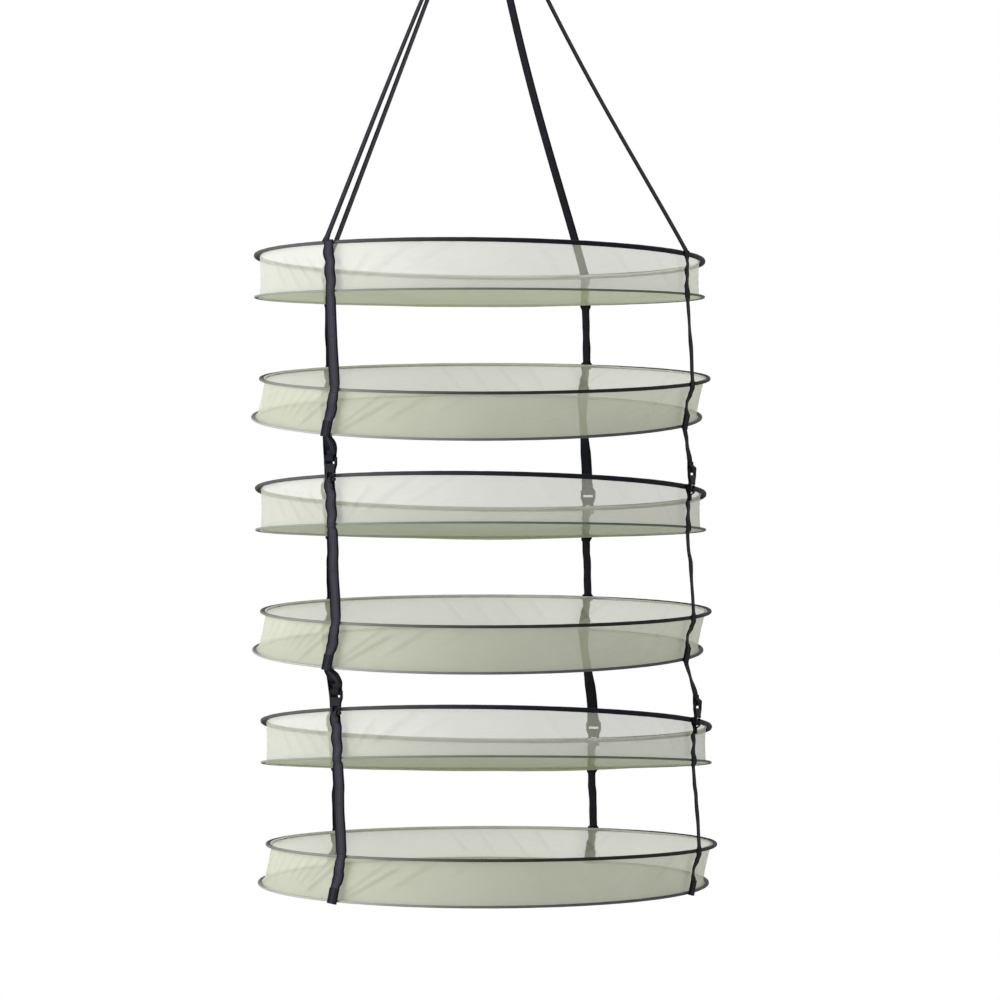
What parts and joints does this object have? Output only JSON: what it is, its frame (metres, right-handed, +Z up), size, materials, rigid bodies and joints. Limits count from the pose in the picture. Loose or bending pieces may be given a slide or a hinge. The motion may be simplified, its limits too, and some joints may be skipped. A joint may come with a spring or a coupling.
{
  "type": "hanging mesh drying rack",
  "caption": "Tall hanging drying rack: round mesh trays between sewn spring hoops on four webbing straps, joined pair by pair with snap clips, under one hang ring.",
  "frame": {"origin": "the hang point: the inside top of the hang ring, on the rack's vertical middle line", "axes": "+Z up; the front is -Y, so +X is to the right as the rack is seen from the front"},
  "size_m": [0.63, 0.6096, 1.4829],
  "materials": {
    "webbing": "woven",
    "binding": "woven",
    "mesh": "sheer knitted mesh",
    "hoop_steel": "bright spring steel",
    "ring_steel": "nickel plated",
    "clip_plastic": "satin"
  },
  "bodies": {
    "hanger": {"hang_ring": "ring_steel", "hang_loop": "webbing", "hang_straps": "webbing"},
    "tray_1_top": {"tray_1_top_wire": "hoop_steel", "tray_1_top_binding": "binding", "tray_1_wall_straps": "webbing"},
    "tray_1_bottom": {"tray_1_bottom_wire": "hoop_steel", "tray_1_bottom_binding": "binding", "tray_1_wall": "mesh", "tray_1_floor": "mesh", "gap_straps_1_2": "webbing"},
    "tray_2_top": {"tray_2_top_wire": "hoop_steel", "tray_2_top_binding": "binding", "tray_2_wall_straps": "webbing"},
    "tray_2_bottom": {"tray_2_bottom_wire": "hoop_steel", "tray_2_bottom_binding": "binding", "tray_2_wall": "mesh", "tray_2_floor": "mesh", "link_straps_2_3": "webbing"},
    "tray_3_top": {"tray_3_top_wire": "hoop_steel", "tray_3_top_binding": "binding", "tray_3_wall_straps": "webbing", "link_clips_2_3": "clip_plastic"},
    "tray_3_bottom": {"tray_3_bottom_wire": "hoop_steel", "tray_3_bottom_binding": "binding", "tray_3_wall": "mesh", "tray_3_floor": "mesh", "gap_straps_3_4": "webbing"},
    "tray_4_top": {"tray_4_top_wire": "hoop_steel", "tray_4_top_binding": "binding", "tray_4_wall_straps": "webbing"},
    "tray_4_bottom": {"tray_4_bottom_wire": "hoop_steel", "tray_4_bottom_binding": "binding", "tray_4_wall": "mesh", "tray_4_floor": "mesh", "link_straps_4_5": "webbing"},
    "tray_5_top": {"tray_5_top_wire": "hoop_steel", "tray_5_top_binding": "binding", "tray_5_wall_straps": "webbing", "link_clips_4_5": "clip_plastic"},
    "tray_5_bottom": {"tray_5_bottom_wire": "hoop_steel", "tray_5_bottom_binding": "binding", "tray_5_wall": "mesh", "tray_5_floor": "mesh", "gap_straps_5_6": "webbing"},
    "tray_6_top": {"tray_6_top_wire": "hoop_steel", "tray_6_top_binding": "binding", "tray_6_wall_straps": "webbing"},
    "tray_6_bottom": {"tray_6_bottom_wire": "hoop_steel", "tray_6_bottom_binding": "binding", "tray_6_wall": "mesh", "tray_6_floor": "mesh"},
    "clip_tongue_2_3_front_left": {"clip_tongue_2_3_front_left": "clip_plastic"},
    "clip_tongue_2_3_front_right": {"clip_tongue_2_3_front_right": "clip_plastic"},
    "clip_tongue_2_3_back_right": {"clip_tongue_2_3_back_right": "clip_plastic"},
    "clip_tongue_2_3_back_left": {"clip_tongue_2_3_back_left": "clip_plastic"},
    "clip_tongue_4_5_front_left": {"clip_tongue_4_5_front_left": "clip_plastic"},
    "clip_tongue_4_5_front_right": {"clip_tongue_4_5_front_right": "clip_plastic"},
    "clip_tongue_4_5_back_right": {"clip_tongue_4_5_back_right": "clip_plastic"},
    "clip_tongue_4_5_back_left": {"clip_tongue_4_5_back_left": "clip_plastic"}
  },
  "joints": [
    {"name": "hang_lift", "type": "slide", "parent": "hanger", "child": "tray_1_top", "axis": [0, 0, 1], "range_m": [0, 0.42], "deforming": ["hang_straps"]},
    {"name": "tray_1_fold", "type": "slide", "parent": "tray_1_top", "child": "tray_1_bottom", "axis": [0, 0, 1], "range_m": [0, 0.028], "deforming": ["tray_1_wall", "tray_1_wall_straps"]},
    {"name": "tray_2_lift", "type": "slide", "parent": "tray_1_bottom", "child": "tray_2_top", "axis": [0, 0, 1], "range_m": [0, 0.062], "deforming": ["gap_straps_1_2"]},
    {"name": "tray_2_fold", "type": "slide", "parent": "tray_2_top", "child": "tray_2_bottom", "axis": [0, 0, 1], "range_m": [0, 0.033], "deforming": ["tray_2_wall", "tray_2_wall_straps"]},
    {"name": "tray_3_lift", "type": "slide", "parent": "tray_2_bottom", "child": "tray_3_top", "axis": [0, 0, 1], "range_m": [0, 0.026], "deforming": ["link_straps_2_3"]},
    {"name": "tray_3_fold", "type": "slide", "parent": "tray_3_top", "child": "tray_3_bottom", "axis": [0, 0, 1], "range_m": [0, 0.028], "deforming": ["tray_3_wall", "tray_3_wall_straps"]},
    {"name": "tray_4_lift", "type": "slide", "parent": "tray_3_bottom", "child": "tray_4_top", "axis": [0, 0, 1], "range_m": [0, 0.062], "deforming": ["gap_straps_3_4"]},
    {"name": "tray_4_fold", "type": "slide", "parent": "tray_4_top", "child": "tray_4_bottom", "axis": [0, 0, 1], "range_m": [0, 0.033], "deforming": ["tray_4_wall", "tray_4_wall_straps"]},
    {"name": "tray_5_lift", "type": "slide", "parent": "tray_4_bottom", "child": "tray_5_top", "axis": [0, 0, 1], "range_m": [0, 0.026], "deforming": ["link_straps_4_5"]},
    {"name": "tray_5_fold", "type": "slide", "parent": "tray_5_top", "child": "tray_5_bottom", "axis": [0, 0, 1], "range_m": [0, 0.028], "deforming": ["tray_5_wall", "tray_5_wall_straps"]},
    {"name": "tray_6_lift", "type": "slide", "parent": "tray_5_bottom", "child": "tray_6_top", "axis": [0, 0, 1], "range_m": [0, 0.062], "deforming": ["gap_straps_5_6"]},
    {"name": "tray_6_fold", "type": "slide", "parent": "tray_6_top", "child": "tray_6_bottom", "axis": [0, 0, 1], "range_m": [0, 0.033], "deforming": ["tray_6_wall", "tray_6_wall_straps"]},
    {"name": "clip_tongue_2_3_front_left_spring", "type": "hinge", "parent": "tray_3_top", "child": "clip_tongue_2_3_front_left", "pos_m": [-0.19539, -0.23992, -0.89457], "axis": [0.6494, 0.7604, 0], "range_deg": [0, 25], "stiffness_Nm_per_rad": 0.002, "springref_deg": -5.73},
    {"name": "clip_tongue_2_3_front_right_spring", "type": "hinge", "parent": "tray_3_top", "child": "clip_tongue_2_3_front_right", "pos_m": [0.2885, -0.11814, -0.90976], "axis": [-0.9171, 0.3987, 0], "range_deg": [0, 25], "stiffness_Nm_per_rad": 0.002, "springref_deg": -5.73},
    {"name": "clip_tongue_2_3_back_right_spring", "type": "hinge", "parent": "tray_3_top", "child": "clip_tongue_2_3_back_right", "pos_m": [0.14179, 0.27684, -0.93952], "axis": [-0.4695, -0.8829, 0], "range_deg": [0, 25], "stiffness_Nm_per_rad": 0.002, "springref_deg": -5.73},
    {"name": "clip_tongue_2_3_back_left_spring", "type": "hinge", "parent": "tray_3_top", "child": "clip_tongue_2_3_back_left", "pos_m": [-0.21066, 0.22652, -0.93151], "axis": [0.6691, -0.7431, 0], "range_deg": [0, 25], "stiffness_Nm_per_rad": 0.002, "springref_deg": -5.73},
    {"name": "clip_tongue_4_5_front_left_spring", "type": "hinge", "parent": "tray_5_top", "child": "clip_tongue_4_5_front_left", "pos_m": [-0.18789, -0.23992, -1.20857], "axis": [0.6494, 0.7604, 0], "range_deg": [0, 25], "stiffness_Nm_per_rad": 0.002, "springref_deg": -5.73},
    {"name": "clip_tongue_4_5_front_right_spring", "type": "hinge", "parent": "tray_5_top", "child": "clip_tongue_4_5_front_right", "pos_m": [0.296, -0.11814, -1.22376], "axis": [-0.9171, 0.3987, 0], "range_deg": [0, 25], "stiffness_Nm_per_rad": 0.002, "springref_deg": -5.73},
    {"name": "clip_tongue_4_5_back_right_spring", "type": "hinge", "parent": "tray_5_top", "child": "clip_tongue_4_5_back_right", "pos_m": [0.14929, 0.27684, -1.25352], "axis": [-0.4695, -0.8829, 0], "range_deg": [0, 25], "stiffness_Nm_per_rad": 0.002, "springref_deg": -5.73},
    {"name": "clip_tongue_4_5_back_left_spring", "type": "hinge", "parent": "tray_5_top", "child": "clip_tongue_4_5_back_left", "pos_m": [-0.20316, 0.22652, -1.24551], "axis": [0.6691, -0.7431, 0], "range_deg": [0, 25], "stiffness_Nm_per_rad": 0.002, "springref_deg": -5.73}
  ]
}
